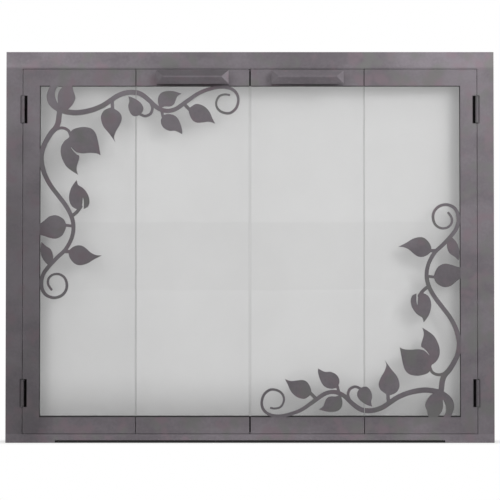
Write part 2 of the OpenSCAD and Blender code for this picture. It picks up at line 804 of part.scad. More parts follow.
module fold_bore(z) {
    translate([fold_x, fold_y, z - fold_hinge_len / 2 - cut])
        cylinder(d = fold_pin_d + 2 * pin_play, h = fold_hinge_len + 2 * cut);
}

// The outer knuckles and the plate on the outer leaf
module fold_hinge_outer(side) {
    half = fold_hinge_len / 2;
    mid = knuckle_len / 2;
    color(black_steel)
        on_side(side)
            for (z = fold_levels)
                difference() {
                    union() {
                        for (way = [-1, 1]) {
                            low = way < 0 ? -half : mid;
                            fold_knuckle(z, low, low + knuckle_len);
                            box([fold_x, leaf_back, z + low],
                                [fold_x + fold_plate_reach, leaf_back + fold_plate_t,
                                 z + low + knuckle_len]);
                        }
                        box([fold_x + knuckle_r + side_gap, leaf_back, z - half],
                            [fold_x + fold_plate_reach, leaf_back + fold_plate_t, z + half]);
                    }
                    fold_bore(z);
                }
}

// The middle knuckle and the plate on the inner leaf, which bridges the seam
module fold_hinge_inner(side) {
    half = fold_hinge_len / 2;
    mid = knuckle_len / 2 - side_gap / 2;
    color(black_steel)
        on_side(side)
            for (z = fold_levels)
                difference() {
                    union() {
                        fold_knuckle(z, -mid, mid);
                        box([inner_edge_x - side_gap, leaf_back + side_gap, z - mid],
                            [fold_x, leaf_back + fold_plate_t, z + mid]);
                        box([fold_x - fold_plate_reach, leaf_back, z - half],
                            [inner_edge_x, leaf_back + fold_plate_t, z + half]);
                    }
                    fold_bore(z);
                }
}

module fold_hinge_pins(side) {
    color(zinc)
        on_side(side)
            for (z = fold_levels)
                translate([fold_x, fold_y, z - fold_hinge_len / 2]) {
                    cylinder(d = fold_pin_d, h = fold_hinge_len + fold_pin_head_h);
                    translate([0, 0, -fold_pin_head_h]) cylinder(r = knuckle_r, h = fold_pin_head_h);
                }
}

// ---- Guide pins and strike plates ----

module guide_pin(side) {
    seat_z = leaf_top - guide_pin_seat;
    tip_z = head_z + tube_wall + guide_reach;
    color(zinc)
        on_side(side)
            translate([guide_x, guide_y, seat_z]) {
                cylinder(d = guide_pin_d, h = tip_z - seat_z);
                translate([0, 0, tip_z - seat_z])
                    cylinder(d1 = guide_pin_d, d2 = guide_pin_d / 2, h = guide_tip);
            }
}

module strike_plate(side) {
    half = catch_w / 2 - magnet_margin;
    color(zinc)
        on_side(side)
            box([catch_x - half, leaf_back, catch_z + side_gap],
                [catch_x + half, leaf_back + strike_t, leaf_top - side_gap]);
}

// ---- Handles ----

module handle_screw_holes() {
    for (x = handle_screw_xs)
        round_y(x, -cut, top_bar_mid, handle_screw_d + 2 * fit_gap, leaf_back + 2 * cut);
}

// A bar with a hipped front, on two round posts
module handle(side) {
    edge_y = handle_back_y - handle_edge_t;
    front = edge_y - handle_ridge_h;
    post_z = top_bar_mid - handle_z;
    color(pewter)
        on_side(side)
            translate([handle_x, 0, handle_z])
                difference() {
                    union() {
                        intersection() {
                            rotate([90, 0, 90])
                                linear_extrude(handle_len, center = true)
                                    polygon([
                                        [handle_back_y, -handle_h / 2], [handle_back_y, handle_h / 2],
                                        [edge_y, handle_h / 2], [front, handle_ridge_w / 2],
                                        [front, -handle_ridge_w / 2], [edge_y, -handle_h / 2]
                                    ]);
                            linear_extrude(handle_h + 2 * cut, center = true)
                                polygon([
                                    [-handle_len / 2, handle_back_y], [handle_len / 2, handle_back_y],
                                    [handle_len / 2, edge_y], [handle_len / 2 - handle_end_len, front],
                                    [handle_end_len - handle_len / 2, front], [-handle_len / 2, edge_y]
                                ]);
                        }
                        for (way = [-1, 1])
                            round_y(way * post_spacing / 2, handle_back_y - weld_sink, post_z, post_d,
                                    handle_standoff + weld_sink);
                    }
                    for (way = [-1, 1])
                        round_y(way * post_spacing / 2, -post_thread, post_z, handle_screw_d,
                                post_thread + cut);
                }
}

module handle_screws(side) {
    color(zinc)
        on_side(side)
            for (x = handle_screw_xs)
                screw_y(x, leaf_back, top_bar_mid, handle_screw_d - 2 * fit_gap,
                        leaf_back + post_thread - tip_gap, handle_screw_head_d, handle_screw_head_h);
}

// ---- Vine ----

module stem(points) {
    c = curve(fitted(points), stem_steps);
    polygon(concat(stem_edge(c, 1), reversed(stem_edge(c, -1))));
    for (end = [c[0], c[len(c) - 1]])
        translate([end.x, end.y]) circle(d = end.z, $fn = 20);
}

module leaf(edges) {
    polygon([for (edge = edges) each curve(fitted(edge), leaf_steps)]);
}

// All of the vine that grows on one leaf of the door, with small fillets where it branches
module vine_outline(stems, leaves, slits) {
    offset(r = -root_fillet, $fn = 12)
        offset(delta = root_fillet)
            difference() {
                union() {
                    for (points = stems) stem(points);
                    for (edges = leaves) leaf(edges);
                }
                for (edges = slits) leaf(edges);
            }
}

// The vine hangs from the upper left corner of the opening. The right-hand one is the
// same vine turned by half a turn about the middle of the opening.
module vine_plate(side) {
    in_place() upright(0, sheet_t)
        translate([0, opening_mid])
            rotate(side == "left" ? 0 : 180)
                translate([-opening_x, opening_top - opening_mid])
                    mirror([0, 1]) children();
}

module outer_vine(side) {
    color(pewter)
        vine_plate(side)
            intersection() {
                vine_outline(concat([TOP_STEM, SIDE_STEM], OUTER_STALKS), OUTER_LEAVES, [BUD_SLIT]);
                square([opening_x - outer_edge_x, opening_top - opening_bottom]);
            }
}

module inner_vine(side) {
    color(pewter)
        vine_plate(side) {
            intersection() {
                vine_outline(concat([TOP_STEM], INNER_STALKS), concat(INNER_LEAVES, [SEAM_LEAF]), []);
                union() {
                    translate([opening_x - inner_edge_x, 0])
                        square([inner_edge_x - lead_x, opening_top - opening_bottom]);
                    seam_leaf_field();
                }
            }
        }
}

// The part of the outer pane that the overhanging leaf may cover
module seam_leaf_field() {
    clear_of_stem = 20.5;
    overhang = 23;
    drop = 48;
    from_x = vine_x(drawn_seam - overhang);
    translate([from_x, clear_of_stem]) square([opening_x - inner_edge_x - from_x, drop]);
}

// ---- Fixing brackets ----

module lintel_brackets() {
    color(black_steel)
        in_place() for (x = lintel_bracket_xs)
            difference() {
                box([x - bracket_w / 2, bracket_front, head_z - bracket_t],
                    [x + bracket_w / 2, bracket_back, head_z]);
                translate([x, frame_depth + anchor_reach, head_z - bracket_t - cut])
                    cylinder(d = anchor_hole_d, h = bracket_t + 2 * cut);
                for (dx = lintel_bolt_offsets)
                    translate([x + dx, bracket_bolt_y, head_z - bracket_t - cut])
                        cylinder(d = bracket_bolt_d + bracket_slack, h = bracket_t + 2 * cut);
            }
}

// A tapered plate on the jamb's inner face, with a foot along the hearth behind the sill
module hearth_brackets() {
    foot_front = frame_depth + side_gap;
    sill_clear = sill_h + side_gap;
    color(black_steel)
        for (side = ["left", "right"])
            on_side(side)
                difference() {
                    union() {
                        translate([jamb_x - bracket_t, 0, 0])
                            rotate([90, 0, 90])
                                linear_extrude(bracket_t)
                                    polygon([
                                        [bracket_front, sill_clear], [bracket_front, hearth_bracket_top],
                                        [frame_depth + bracket_lap, hearth_bracket_top],
                                        [bracket_back, bracket_t], [bracket_back, 0],
                                        [foot_front, 0], [foot_front, sill_clear]
                                    ]);
                        box([jamb_x - bracket_w, foot_front, 0], [jamb_x, bracket_back, bracket_t]);
                    }
                    translate([hearth_anchor_x, frame_depth + anchor_reach, -cut])
                        cylinder(d = anchor_hole_d, h = bracket_t + 2 * cut);
                    for (z = hearth_bolt_zs)
                        round_x(jamb_x - bracket_t - cut, bracket_bolt_y, z,
                                bracket_bolt_d + bracket_slack, bracket_t + 2 * cut);
                }
}

module bracket_bolts() {
    color(zinc) {
        in_place() for (x = lintel_bracket_xs, dx = lintel_bolt_offsets)
            translate([x + dx, bracket_bolt_y, head_z - bracket_t]) bracket_bolt();
        for (side = ["left", "right"])
            on_side(side)
                for (z = hearth_bolt_zs)
                    translate([jamb_x - bracket_t, bracket_bolt_y, z]) rotate([0, 90, 0]) bracket_bolt();
    }
}

module bracket_bolt() {
    screw(bracket_bolt_d - 2 * fit_gap, bolt_len, bolt_head_d, bolt_head_h);
}

// ---- One line for each piece ----

frame_head();
frame_jamb("left");  // frame_jamb_left
frame_jamb("right");  // frame_jamb_right
frame_sill();
guide_track();
catch_housings();
catch_magnets();
jamb_stops("left");  // jamb_stops_left
jamb_stops("right");  // jamb_stops_right
frame_screws();
hinge_pin_halves("left");  // hinge_pin_halves_left
hinge_pin_halves("right");  // hinge_pin_halves_right
lintel_brackets();
hearth_brackets();
bracket_bolts();
outer_leaf_face("left");  // outer_leaf_face_left
outer_leaf_bars("left");  // outer_leaf_bars_left
outer_gasket("left");  // outer_gasket_left
outer_glass("left");  // outer_glass_left
outer_vine("left");  // outer_vine_left
glass_clips("left", outer_clip_spots());  // outer_glass_clips_left
clip_screws("left", outer_clip_spots());  // outer_clip_screws_left
hinge_sleeves("left");  // hinge_sleeves_left
fold_hinge_outer("left");  // fold_hinge_outer_left
fold_hinge_pins("left");  // fold_hinge_pins_left
inner_leaf_face("left");  // inner_leaf_face_left
inner_leaf_bars("left");  // inner_leaf_bars_left
inner_gasket("left");  // inner_gasket_left
inner_glass("left");  // inner_glass_left
inner_vine("left");  // inner_vine_left
glass_clips("left", inner_clip_spots());  // inner_glass_clips_left
clip_screws("left", inner_clip_spots());  // inner_clip_screws_left
fold_hinge_inner("left");  // fold_hinge_inner_left
guide_pin("left");  // guide_pin_left
strike_plate("left");  // strike_plate_left
handle("left");  // handle_left
handle_screws("left");  // handle_screws_left
outer_leaf_face("right");  // outer_leaf_face_right
outer_leaf_bars("right");  // outer_leaf_bars_right
outer_gasket("right");  // outer_gasket_right
outer_glass("right");  // outer_glass_right
outer_vine("right");  // outer_vine_right
glass_clips("right", outer_clip_spots());  // outer_glass_clips_right
clip_screws("right", outer_clip_spots());  // outer_clip_screws_right
hinge_sleeves("right");  // hinge_sleeves_right
fold_hinge_outer("right");  // fold_hinge_outer_right
fold_hinge_pins("right");  // fold_hinge_pins_right
inner_leaf_face("right");  // inner_leaf_face_right
inner_leaf_bars("right");  // inner_leaf_bars_right
inner_gasket("right");  // inner_gasket_right
inner_glass("right");  // inner_glass_right
inner_vine("right");  // inner_vine_right
glass_clips("right", inner_clip_spots());  // inner_glass_clips_right
clip_screws("right", inner_clip_spots());  // inner_clip_screws_right
fold_hinge_inner("right");  // fold_hinge_inner_right
guide_pin("right");  // guide_pin_right
strike_plate("right");  // strike_plate_right
handle("right");  // handle_right
handle_screws("right");  // handle_screws_right
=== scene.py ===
"""Looks of a fireplace glass door: a steel frame with four folding glass leaves and a cut-metal vine."""

import functools
import json
import math

import bmesh
import bpy
import numpy as np
from bpy.props import FloatProperty, FloatVectorProperty, PointerProperty
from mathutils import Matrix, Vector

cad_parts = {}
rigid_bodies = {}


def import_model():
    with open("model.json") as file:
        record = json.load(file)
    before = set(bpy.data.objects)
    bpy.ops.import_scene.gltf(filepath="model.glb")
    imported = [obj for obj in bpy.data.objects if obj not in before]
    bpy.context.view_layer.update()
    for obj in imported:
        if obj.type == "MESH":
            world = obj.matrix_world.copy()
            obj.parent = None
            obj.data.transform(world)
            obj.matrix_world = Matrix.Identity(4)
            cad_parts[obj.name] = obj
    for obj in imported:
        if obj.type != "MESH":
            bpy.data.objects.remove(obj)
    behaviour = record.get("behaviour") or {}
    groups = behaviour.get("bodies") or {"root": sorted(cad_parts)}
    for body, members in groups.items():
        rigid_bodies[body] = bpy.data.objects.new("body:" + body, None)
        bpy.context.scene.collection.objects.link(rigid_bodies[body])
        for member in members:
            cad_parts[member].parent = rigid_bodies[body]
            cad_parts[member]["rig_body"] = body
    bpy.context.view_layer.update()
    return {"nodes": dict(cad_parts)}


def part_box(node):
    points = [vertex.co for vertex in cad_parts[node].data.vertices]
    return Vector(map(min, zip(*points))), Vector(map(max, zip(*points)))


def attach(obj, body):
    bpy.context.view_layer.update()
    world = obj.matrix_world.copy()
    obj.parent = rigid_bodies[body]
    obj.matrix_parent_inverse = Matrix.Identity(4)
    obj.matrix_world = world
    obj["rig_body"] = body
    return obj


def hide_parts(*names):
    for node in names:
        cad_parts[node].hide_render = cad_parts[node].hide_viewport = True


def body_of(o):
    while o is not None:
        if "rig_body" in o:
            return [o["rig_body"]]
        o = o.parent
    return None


bl_info = {
    "name": "Fireplace glass door",
    "version": (1, 0, 0),
    "blender": (4, 5, 0),
    "location": "3D View > Sidebar > Glass Door",
    "description": "Finishes the steel, glass and fittings of a folding fireplace glass door",
    "category": "Object",
}

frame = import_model()
NODES = frame["nodes"]
# The door's two sides, and the way along X to each
WAYS = {"left": -1.0, "right": 1.0}
SIDES = tuple(WAYS)

FRAME_LOW, FRAME_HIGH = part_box("frame_head")
DOOR_WIDTH = FRAME_HIGH.x - FRAME_LOW.x
DOOR_HEIGHT = FRAME_HIGH.z
FRONT_Y = FRAME_LOW.y
BACK_Y = FRAME_HIGH.y
JAMB_INNER_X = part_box("frame_jamb_right")[0].x
HEAD_UNDERSIDE = FRAME_LOW.z
SILL_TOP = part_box("frame_sill")[1].z
# The sill's lower edges: on the hearth and over the draft slot
SLOT_EDGES = (0.0, 0.0048)
# The vines fill the height between the rails and reach the inner edges of the stiles
OPENING_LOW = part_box("outer_vine_right")[0].z
OPENING_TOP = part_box("outer_vine_left")[1].z
STILE_INNER_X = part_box("outer_vine_right")[1].x
# The free edges of the panes: at the middle of the door, and on both sides of the fold
SEAM_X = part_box("outer_glass_right")[0].x
PANE_EDGES = (*(corner.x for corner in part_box("inner_glass_right")), SEAM_X)
LEAF_BACK_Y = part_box("outer_leaf_face_right")[1].y
# The hinge notches: their width beside the jamb, half their height, and how far in their painted shade is
# blackest
NOTCH_WIDTH = 0.0105
NOTCH_HALF = 0.029
NOTCH_DEPTH = 0.0034
# A hinge's sleeve is its upper half, so the middle of each hinge lies where its sleeve begins
SLEEVE_LENGTH = 0.028
SLEEVES_LOW, SLEEVES_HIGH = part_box("hinge_sleeves_right")
HINGE_HEIGHTS = (SLEEVES_LOW.z, SLEEVES_HIGH.z - SLEEVE_LENGTH)
HANDLE_LOW, HANDLE_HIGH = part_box("handle_right")
# What stands further out than this from the front is a handle
HANDLE_RISE = 0.012

# Painted light on the frame's inner edges in the gap by the leaves: its depth, the skin that counts as edge,
# its tone
LIT_GAP_DEPTH = 0.009
LIT_GAP_SKIN = 0.0002
LIT_GAP_TONE = 2.6

# Points this close together are merged into one
MERGED = 1e-6
# Faces that turn by less than this are joined into one
FLAT = math.radians(1.0)
# Points this close to a plane lie on it
ON_PLANE = 2e-5
# Edges sharper than this are rounded, by a width that suits the piece
SHARP = math.radians(30.0)
ROUND_CLIP = 0.0003
ROUND_SHEET = 0.0004
ROUND_BAR = 0.0005
ROUND_MOULDED = 0.0008
# Attribute on a piece's faces that holds painted light: how much paler or darker each face is painted as it
# faces
FACET_LIGHT = "facet_light"

# The stage: a wide floor whose shadow fades out round the door, and a board behind it that glows a little
FLOOR_Z = -0.0005
FLOOR_REACH = 40.0
FLOOR_FADE = 0.06
BOARD_Y = BACK_Y + 0.003
BOARD_GLOW = 0.18
# What the glass mirrors is deeper below this slope, by this much
MIRRORED_SLOPE = 0.0377
MIRRORED_DEPTH = 0.33


def on_sides(*names):
    """The named nodes on the left and on the right."""
    return [f"{name}_{side}" for name in names for side in SIDES]


def grey(tone):
    """The colour of an even grey."""
    return (tone, tone, tone)


# ---------------------------------------------------------------- settings


def colour(name, text, default):
    """A colour setting."""
    return FloatVectorProperty(
        name=name, description=text, default=default, subtype="COLOR", min=0.0, max=1.0
    )


class DoorFinishSettings(bpy.types.PropertyGroup):
    """Colours and textures of the door's surfaces."""

    pewter_deep: colour("Pewter, deep", "The darker tone of the coated steel", (0.124, 0.108, 0.123))
    pewter_pale: colour("Pewter, pale", "The paler tone of the coated steel", (0.206, 0.184, 0.205))
    pewter_warm: colour("Pewter, warm", "The plum patches of the coated steel", (0.193, 0.143, 0.167))
    pewter_cool: colour("Pewter, cool", "The grey-green patches of the coated steel", (0.149, 0.152, 0.144))
    black_steel: colour("Blackened steel", "Painted brackets, stops and fold hinges", (0.026, 0.025, 0.026))
    zinc: colour("Zinc", "The plated screws, clips and track", (0.52, 0.53, 0.54))
    nickel: colour("Nickel", "The plated magnets", (0.40, 0.395, 0.385))
    plastic: colour("Catch plastic", "The catch housings", (0.022, 0.022, 0.024))
    gasket: colour("Gasket", "The woven gasket round the glass", (0.014, 0.013, 0.014))
    glass: colour("Glass", "The tint of the glass", (0.966, 0.966, 0.966))
    glass_edge: colour("Glass edge", "The ground free edges of the panes", (0.12, 0.122, 0.122))
    grain: FloatProperty(
        name="Grain", description="Width of one grain of the coating", default=0.0009, unit="LENGTH"
    )
    cloud: FloatProperty(
        name="Clouds", description="Width of one soft cloud in the coating", default=0.09, unit="LENGTH"
    )


class DoorStageSettings(bpy.types.PropertyGroup):
    """The camera, the lamps and the white surroundings."""

    camera_distance: FloatProperty(
        name="Camera distance", description="From the camera to the door's front", default=3.1, unit="LENGTH"
    )
    camera_rise: FloatProperty(
        name="Camera rise", description="How far the camera looks upwards", default=math.radians(1.1),
        unit="ROTATION",
    )
    view_width: FloatProperty(
        name="View width", description="Width of the view at the door's front", default=1.0404, unit="LENGTH"
    )
    view_height: FloatProperty(
        name="View height", description="Height of the point in the middle of the view", default=0.3999,
        unit="LENGTH",
    )
    key_place: FloatVectorProperty(
        name="Key lamp, place", description="The soft lamp at the upper right", default=(1.5, -2.2, 1.5),
        subtype="TRANSLATION", unit="LENGTH",
    )
    key_power: FloatProperty(
        name="Key lamp, power", description="Power of the lamp at the right", default=18.0, unit="POWER"
    )
    second_place: FloatVectorProperty(
        name="Second lamp, place", description="The soft lamp at the upper left", default=(-1.7, -2.2, 1.5),
        subtype="TRANSLATION", unit="LENGTH",
    )
    second_power: FloatProperty(
        name="Second lamp, power", description="Power of the lamp at the left", default=6.5, unit="POWER"
    )
    lamp_size: FloatProperty(
        name="Lamp size", description="Side of each soft lamp", default=1.0, unit="LENGTH"
    )
    fill: FloatProperty(
        name="Fill", description="Strength of the even light from all sides", default=0.75
    )


# ---------------------------------------------------------------- materials


class Nodes:
    """A node tree, built step by step. A value is a number, a colour or another node's output."""

    def __init__(self, tree):
        self.tree = tree
        self.tree.nodes.clear()

    def add(self, kind, inputs=None, **settings):
        """A new node with these settings and inputs."""
        node = self.tree.nodes.new(kind)
        for key, value in settings.items():
            setattr(node, key, value)
        for key, value in (inputs or {}).items():
            self.put(node.inputs[key], value)
        return node

    def put(self, socket, value):
        """Links an output to the socket, or sets the socket to a number or a colour."""
        if isinstance(value, bpy.types.NodeSocket):
            self.tree.links.new(value, socket)
        elif socket.type == "RGBA" and len(value) == 3:
            socket.default_value = (*value, 1.0)
        else:
            socket.default_value = value

    def maths(self, operation, *values):
        """The result of one operation."""
        node = self.add("ShaderNodeMath", operation=operation)
        for socket, value in zip(node.inputs, values):
            self.put(socket, value)
        return node.outputs["Value"]

    def folded(self, operation, values):
        """One operation applied to the first two values, then to that and the next one, and so on."""
        result, *others = values
        for other in others:
            result = self.maths(operation, result, other)
        return result

    def product(self, *values):
        """All values multiplied."""
        return self.folded("MULTIPLY", values)

    def total(self, *values):
        """All values added."""
        return self.folded("ADD", values)

    def largest(self, *values):
        """The largest of the values."""
        return self.folded("MAXIMUM", values)

    def difference(self, first, second):
        """The first value less the second."""
        return self.maths("SUBTRACT", first, second)

    def size(self, value):
        """The value without its sign."""
        return self.maths("ABSOLUTE", value)

    def above(self, value, low):
        """One where the value is greater, and nil elsewhere."""
        return self.maths("GREATER_THAN", value, low)

    def below(self, value, high):
        """One where the value is less, and nil elsewhere."""
        return self.maths("LESS_THAN", value, high)

    def between(self, value, low, high):
        """One where the value lies between the two, and nil elsewhere."""
        return self.product(self.above(value, low), self.below(value, high))

    def ranged(self, value, low, high, to_low=0.0, to_high=1.0, smooth=True):
        """The value's range from low to high laid onto another range, held at its ends."""
        node = self.add(
            "ShaderNodeMapRange",
            {"Value": value, "From Min": low, "From Max": high, "To Min": to_low, "To Max": to_high},
            interpolation_type="SMOOTHSTEP" if smooth else "LINEAR",
        )
        return node.outputs["Result"]

    def blended(self, share, first, second):
        """Two shaders mixed: the second one's share goes from nil to one."""
        return self.add("ShaderNodeMixShader", {0: share, 1: first.outputs[0], 2: second.outputs[0]})


class Finish(Nodes):
    """One node material on Object coordinates. Sizes are in metres."""

    def __init__(self, name):
        self.material = bpy.data.materials.new(name)
        self.material.use_nodes = True
        super().__init__(self.material.node_tree)
        self.output = self.add("ShaderNodeOutputMaterial")
        self.place = self.add("ShaderNodeTexCoord").outputs["Object"]

    def along(self, axis):
        """The place along one axis."""
        return self.add("ShaderNodeSeparateXYZ", {"Vector": self.place}).outputs[axis]

    def spread(self, width, shift=(0.0, 0.0, 0.0), stretch=(1.0, 1.0, 1.0)):
        """The place divided by the width of one feature, which is longer along the stretched axes."""
        scale = tuple(1.0 / (width * s) for s in stretch)
        node = self.add("ShaderNodeMapping", {"Vector": self.place, "Location": shift, "Scale": scale})
        return node.outputs["Vector"]

    def noise(self, width, detail=2.0, roughness=0.5, **where):
        """Soft noise from 0 to 1 whose features are about this wide."""
        node = self.add(
            "ShaderNodeTexNoise",
            {"Vector": self.spread(width, **where), "Scale": 1.0, "Detail": detail, "Roughness": roughness},
        )
        return node.outputs["Fac"]

    def mixed(self, share, first, second, blend="MIX"):
        """Two colours mixed: the second one's share goes from nil to one."""
        node = self.add("ShaderNodeMix", data_type="RGBA", blend_type=blend)
        self.put(node.inputs["Factor"], share)
        colours = [s for s in node.inputs if s.type == "RGBA"]
        self.put(colours[0], first)
        self.put(colours[1], second)
        return next(s for s in node.outputs if s.type == "RGBA")

    def bump(self, height, depth, first=None):
        """The surface raised by height times depth, on top of another bump."""
        node = self.add("ShaderNodeBump", {"Height": height, "Distance": depth, "Strength": 1.0})
        if first is not None:
            self.put(node.inputs["Normal"], first)
        return node.outputs["Normal"]

    def shader(self, **inputs):
        """The shader itself. An underscore in a name stands for a space."""
        return self.add("ShaderNodeBsdfPrincipled", {k.replace("_", " "): v for k, v in inputs.items()})

    def done(self, shader):
        """The material, with this shader on its surface."""
        self.put(self.output.inputs["Surface"], shader.outputs[0])
        return self.material


def on_handles(f):
    """One on the handles, which stand out from the leaves, and nil elsewhere."""
    return f.below(f.along("Y"), FRONT_Y - HANDLE_RISE)


def painted_light_steps(f, x, z):
    """Painted light and shade: the steps that are added up to how pale the coat is."""
    return (
        # painted light, paler towards the right
        f.ranged(x, -0.5, 0.5, 0.84, 0.95, smooth=False),
        # painted light on the head, palest at its two ends
        f.product(
            f.ranged(z, HEAD_UNDERSIDE - 0.001, HEAD_UNDERSIDE + 0.006),
            f.largest(f.ranged(x, -0.46, -0.08, 0.42, 0.07), f.ranged(x, 0.08, 0.44, 0.07, 0.26)),
        ),
        # painted light on the sill
        f.ranged(z, SILL_TOP, SILL_TOP + 0.0005, 0.19, 0.0),
        # painted shade on the lower part of the left jamb and stile
        f.product(f.ranged(x, -0.445, -0.40, -0.29, 0.0), f.ranged(z, 0.45, 0.74, 1.0, 0.0)),
        # painted shade at the foot of the right jamb and stile
        f.product(f.ranged(x, 0.40, 0.445, 0.0, -0.16), f.ranged(z, 0.02, 0.7, 1.0, 0.0)),
    )


def coat_areas(f, x, y, z):
    """Areas of the coat with a tone of their own, most of them painted light or shade: where each one is, and
    its tone.
    """
    across = f.size(x)
    inside_stiles = f.below(across, STILE_INNER_X)
    by_hinge = (f.between(z, h - NOTCH_HALF, h + NOTCH_HALF) for h in HINGE_HEIGHTS)
    jamb_edge = f.product(
        f.between(across, JAMB_INNER_X - LIT_GAP_SKIN, JAMB_INNER_X + LIT_GAP_SKIN),
        f.between(z, SILL_TOP + 0.001, HEAD_UNDERSIDE),
    )
    head_edge = f.product(
        f.between(z, HEAD_UNDERSIDE - LIT_GAP_SKIN, HEAD_UNDERSIDE + LIT_GAP_SKIN),
        f.below(across, JAMB_INNER_X),
    )
    lit_gap_band = f.between(y, FRONT_Y + LIT_GAP_SKIN, FRONT_Y + LIT_GAP_DEPTH)
    return (
        # the vine is deeper in tone than the leaves' faces, with painted shade that is least under the top
        # rail and most at its left foot
        (
            f.product(f.between(z, OPENING_LOW, OPENING_TOP), inside_stiles),
            f.product(
                f.ranged(z, OPENING_TOP - 0.12, OPENING_TOP, 0.77, 0.92),
                f.largest(f.ranged(z, 0.36, 0.52, 0.85, 1.0), f.ranged(x, -0.3, -0.2)),
            ),
        ),
        # the bottom rails are deeper towards the glass
        (
            f.product(f.between(z, SILL_TOP, OPENING_LOW), inside_stiles),
            f.ranged(z, SILL_TOP, OPENING_LOW, 1.06, 0.90, smooth=False),
        ),
        # painted shade in the hinge notches and on the barrels
        (
            f.product(
                f.between(across, JAMB_INNER_X - NOTCH_WIDTH, SLEEVES_HIGH.x + 0.0005),
                f.below(y, FRONT_Y + 2 * NOTCH_DEPTH),
                f.largest(*by_hinge),
            ),
            f.ranged(y, LEAF_BACK_Y, FRONT_Y + NOTCH_DEPTH, 0.72, 0.12),
        ),
        # painted light on the frame's inner edges, in the narrow gap beside the leaves
        (f.product(lit_gap_band, f.largest(jamb_edge, head_edge)), LIT_GAP_TONE),
        # painted shadow on the strip of rail under each handle, deeper under the left one
        (
            f.product(
                f.between(z, OPENING_TOP, HANDLE_LOW.z + 0.003),
                f.above(y, FRONT_Y - 0.001),
                f.between(across, HANDLE_LOW.x, HANDLE_HIGH.x),
            ),
            f.ranged(x, -0.1, 0.1, 0.45, 0.75),
        ),
        # painted shade on the handles, deeper on the left, and painted light on their faces as the piece's
        # attribute says
        (
            on_handles(f),
            f.total(
                f.ranged(x, -0.1, 0.1, 0.80, 0.94),
                f.add("ShaderNodeAttribute", attribute_name=FACET_LIGHT).outputs["Fac"],
            ),
        ),
    )


def painted_coat_shading(f):
    """Painted light and shade on the coat from place to place: the sum of the steps, times each area's tone
    inside it.
    """
    x, y, z = (f.along(axis) for axis in "XYZ")
    shade = f.total(*painted_light_steps(f, x, z))
    for share, tone in coat_areas(f, x, y, z):
        shade = f.product(shade, f.total(1.0, f.product(share, f.difference(tone, 1.0))))
    return shade


def pewter_steel(look):
    """Coated steel: soft clouds and mottling between two tones, plum and grey-green patches, a fine grain."""
    f = Finish("pewter_coat")
    clouds = f.noise(look.cloud * 2.6, 3.0, 0.45, shift=(3.1, 1.7, 5.3))
    drift = f.noise(look.cloud * 0.55, 3.0, 0.55, shift=(7.3, 2.2, 0.4), stretch=(1.6, 1.0, 1.0))
    mottle = f.noise(look.cloud * 0.07, 2.0, 0.6)
    grain = f.noise(look.grain, 1.0, 0.5)
    tone = f.total(f.product(clouds, 0.35), f.product(drift, 0.40), f.product(mottle, 0.25))
    base = f.mixed(f.ranged(tone, 0.34, 0.66), look.pewter_deep, look.pewter_pale)
    warm = f.noise(look.cloud * 0.45, 2.0, 0.5, shift=(11.0, 4.0, 9.0))
    base = f.mixed(f.ranged(warm, 0.50, 0.68, 0.0, 0.75), base, look.pewter_warm)
    cool = f.noise(look.cloud * 0.5, 2.0, 0.5, shift=(2.0, 9.0, 13.0))
    # The grey-green patches leave out the handles and are faint on the left jamb
    few = f.product(f.difference(1.0, on_handles(f)), f.ranged(f.along("X"), -0.45, -0.38, 0.3, 1.0))
    base = f.mixed(f.product(few, f.ranged(cool, 0.48, 0.66, 0.0, 0.75)), base, look.pewter_cool)
    base = f.mixed(f.ranged(grain, 0.35, 0.65, 0.0, 0.14), base, (0.26, 0.245, 0.26))
    # painted light and shade from place to place
    base = f.mixed(1.0, base, painted_coat_shading(f), blend="MULTIPLY")
    rough = f.ranged(f.total(mottle, grain), 0.7, 1.3, 0.42, 0.58)
    relief = f.bump(grain, 0.00005, f.bump(mottle, 0.00006))
    return f.done(f.shader(Base_Color=base, Roughness=rough, Metallic=0.3, Normal=relief))


def black_paint(look):
    """Heat-proof paint: a faint orange-peel skin, dusty patches and a greyer bloom."""
    f = Finish("black_paint")
    dust = f.noise(0.03, 3.0, 0.6, shift=(2.0, 8.0, 1.0))
    peel = f.noise(0.0016, 2.0, 0.5)
    base = f.mixed(f.ranged(dust, 0.4, 0.72, 0.0, 0.55), look.black_steel, (0.07, 0.067, 0.066))
    rough = f.ranged(dust, 0.3, 0.7, 0.5, 0.68)
    return f.done(f.shader(Base_Color=base, Roughness=rough, Normal=f.bump(peel, 0.00006)))


def zinc_plate(look):
    """Plated steel: pale crystals of uneven tone under a faint blue and straw tarnish."""
    f = Finish("zinc_plate")
    cells = f.add("ShaderNodeTexVoronoi", {"Vector": f.spread(0.004), "Scale": 1.0, "Randomness": 1.0})
    tint = f.noise(0.012, 2.0, 0.5, shift=(5.0, 0.0, 3.0))
    tone = f.add("ShaderNodeSeparateColor", {"Color": cells.outputs["Color"]}).outputs[0]
    base = f.mixed(f.ranged(tone, 0.0, 1.0, 0.0, 0.4), look.zinc, (0.68, 0.69, 0.70))
    base = f.mixed(f.ranged(tint, 0.5, 0.75, 0.0, 0.4), base, (0.60, 0.54, 0.40))
    rough = f.ranged(tone, 0.0, 1.0, 0.3, 0.46)
    scratch = f.noise(0.0006, 1.0, 0.5, stretch=(8.0, 1.0, 1.0))
    return f.done(
        f.shader(Base_Color=base, Roughness=rough, Metallic=1.0, Normal=f.bump(scratch, 0.00001))
    )


def nickel_plate(look):
    """Satin nickel: fine brushing along the magnet and slightly uneven tone."""
    f = Finish("nickel_plate")
    brush = f.noise(0.0005, 2.0, 0.6, stretch=(14.0, 1.0, 1.0))
    tone = f.noise(0.008, 2.0, 0.5)
    base = f.mixed(f.ranged(tone, 0.35, 0.65, 0.0, 0.4), look.nickel, (0.5, 0.49, 0.47))
    rough = f.ranged(brush, 0.3, 0.7, 0.26, 0.4)
    return f.done(
        f.shader(Base_Color=base, Roughness=rough, Metallic=1.0, Normal=f.bump(brush, 0.00001))
    )


